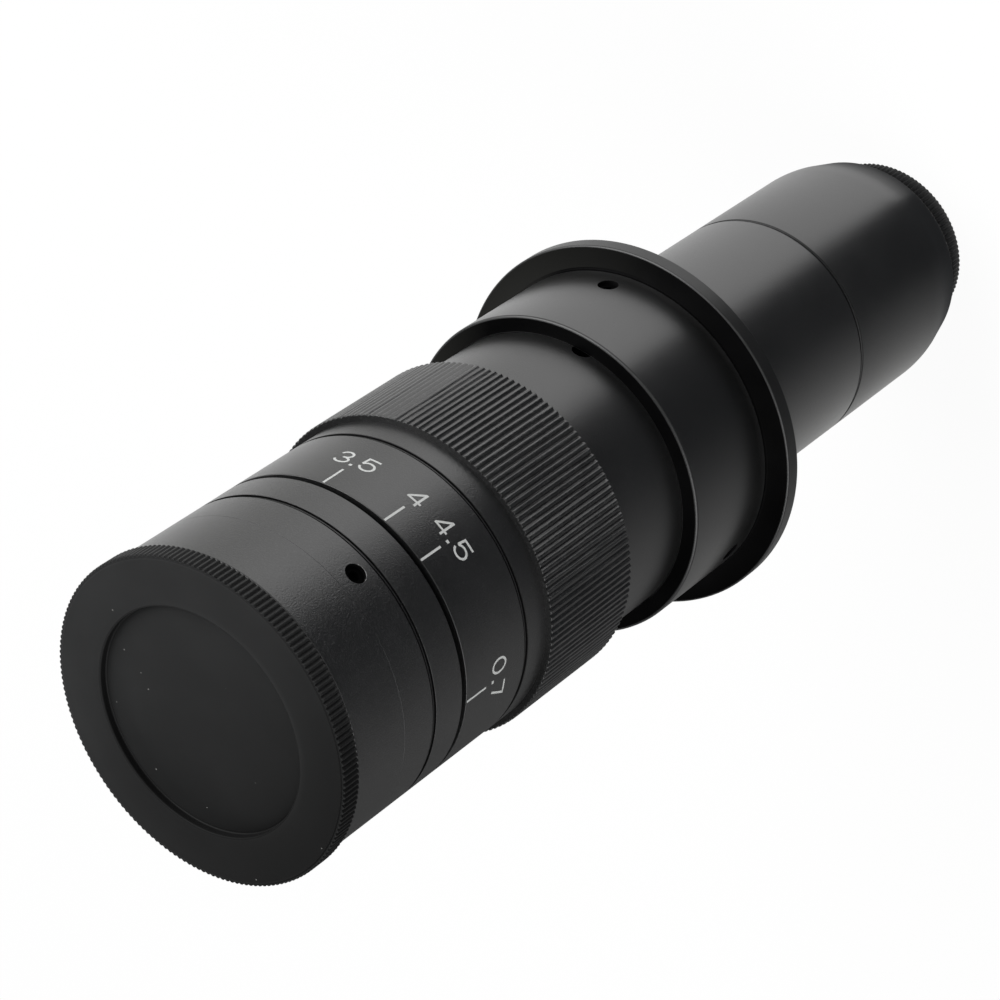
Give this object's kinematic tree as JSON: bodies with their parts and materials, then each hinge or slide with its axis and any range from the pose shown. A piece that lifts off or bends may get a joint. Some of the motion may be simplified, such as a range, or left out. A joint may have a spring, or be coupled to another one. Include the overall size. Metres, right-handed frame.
{
  "type": "c-mount zoom lens",
  "caption": "Tubular zoom lens for machine vision with a turning scale ring and knurled grip, a flanged mounting sleeve, a long neck and push-on end caps.",
  "frame": {"origin": "centre of the rear cap's underside, on which the lens stands", "axes": "+Z along the optical axis from the camera end to the front cap; -Y is the side of the scale's 4.5 mark in the picture"},
  "size_m": [0.0576, 0.0574, 0.1751],
  "materials": {
    "cap_plastic": "moulded black plastic, fine matte grain",
    "black_anodised": "satin black anodised, fine bead-blasted grain",
    "sleeve_anodised": "satin black anodised",
    "scale_anodised": "satin black anodised, white printed scale",
    "grip_anodised": "black anodised straight knurl",
    "thread_black": "black anodised, cut thread",
    "inner_black": "dull black, baffle threads",
    "optical_glass": "polished",
    "coated_glass": "polished, anti-reflection coating",
    "bare_aluminium": "turned",
    "cam_brass": "turned brass",
    "washer_bronze": "bronze washer",
    "spring_steel": "spring steel",
    "black_steel": "black oxide",
    "pin_steel": "ground steel"
  },
  "bodies": {
    "rear_cap": {"rear_cap": "cap_plastic"},
    "barrel": {"camera_mount": "thread_black", "field_stop": "inner_black", "rear_tube": "black_anodised", "neck_tube": "black_anodised", "relay_cell": "inner_black", "relay_lens": "optical_glass", "relay_retainer": "inner_black", "main_barrel": "black_anodised", "mounting_sleeve": "sleeve_anodised", "sleeve_screws": "black_steel", "body_screws": "black_steel", "guide_tube": "bare_aluminium", "thrust_washer": "washer_bronze", "spring_washer": "spring_steel", "front_barrel": "black_anodised", "index_ring": "black_anodised", "front_screws": "black_steel", "nose_ring": "black_anodised", "objective_rear_lens": "optical_glass", "objective_front_lens": "coated_glass", "objective_retainer": "inner_black"},
    "zoom_ring": {"cam_sleeve": "cam_brass", "zoom_grip": "grip_anodised", "grip_screws": "black_steel", "scale_ring": "scale_anodised"},
    "compensator": {"compensator_cell": "inner_black", "compensator_lens": "optical_glass", "compensator_retainer": "inner_black", "compensator_pin": "pin_steel"},
    "variator": {"variator_cell": "inner_black", "variator_lens": "optical_glass", "variator_retainer": "inner_black", "variator_pin": "pin_steel"},
    "front_cap": {"front_cap": "cap_plastic"}
  },
  "joints": [
    {"name": "rear_cap_off", "type": "slide", "parent": "rear_cap", "child": "barrel", "axis": [0, 0, 1], "range_m": [0, 0.02]},
    {"name": "front_cap_off", "type": "slide", "parent": "barrel", "child": "front_cap", "axis": [0, 0, 1], "range_m": [0, 0.03]},
    {"name": "zoom_turn", "type": "hinge", "parent": "barrel", "child": "zoom_ring", "pos_m": [0, 0, 0.13], "axis": [0, 0, 1], "range_deg": [-174, 134]},
    {"name": "variator_travel", "type": "slide", "parent": "barrel", "child": "variator", "axis": [0, 0, 1], "range_m": [-0.00906, 0.00698]},
    {"name": "compensator_travel", "type": "slide", "parent": "barrel", "child": "compensator", "axis": [0, 0, 1], "range_m": [-0.00306, 0.00397]}
  ],
  "couplings": [
    {"joint": "variator_travel", "follows": "zoom_turn", "m_per_rad": 0.0029764},
    {"joint": "compensator_travel", "follows": "zoom_turn", "m_per_rad": -0.0013022}
  ]
}
